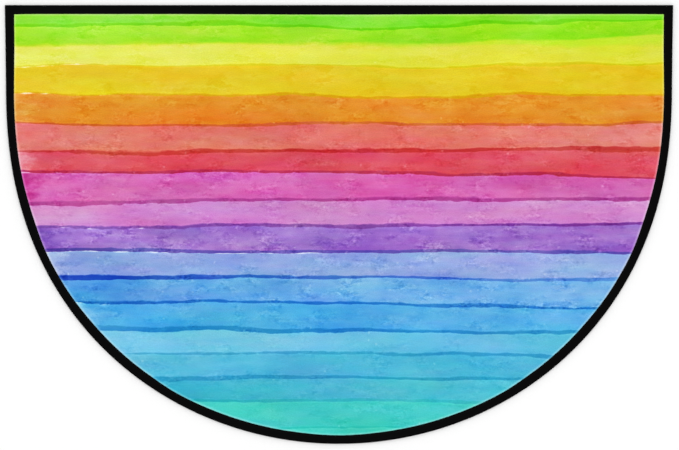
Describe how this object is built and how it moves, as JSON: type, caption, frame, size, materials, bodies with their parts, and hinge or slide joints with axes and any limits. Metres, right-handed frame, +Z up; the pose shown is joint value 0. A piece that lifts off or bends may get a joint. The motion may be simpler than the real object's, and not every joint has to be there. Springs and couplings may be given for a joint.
{
  "type": "half-round doormat",
  "caption": "Flat half-round doormat of short pile cloth, printed with horizontal painted stripes in rainbow order and bound all round with a folded black tape.",
  "frame": {"origin": "middle of the mat's bounding box, on its underside", "axes": "+X along the straight edge, +Y from the round nose towards the straight edge, +Z up through the pile"},
  "size_m": [0.914, 0.6, 0.005],
  "materials": {
    "printed_pile": "matt short polyester pile with printed colour stripes",
    "binding_tape": "matt black woven tape"
  },
  "bodies": {
    "root": {"mat_cloth": "printed_pile", "edge_binding": "binding_tape"}
  },
  "joints": []
}
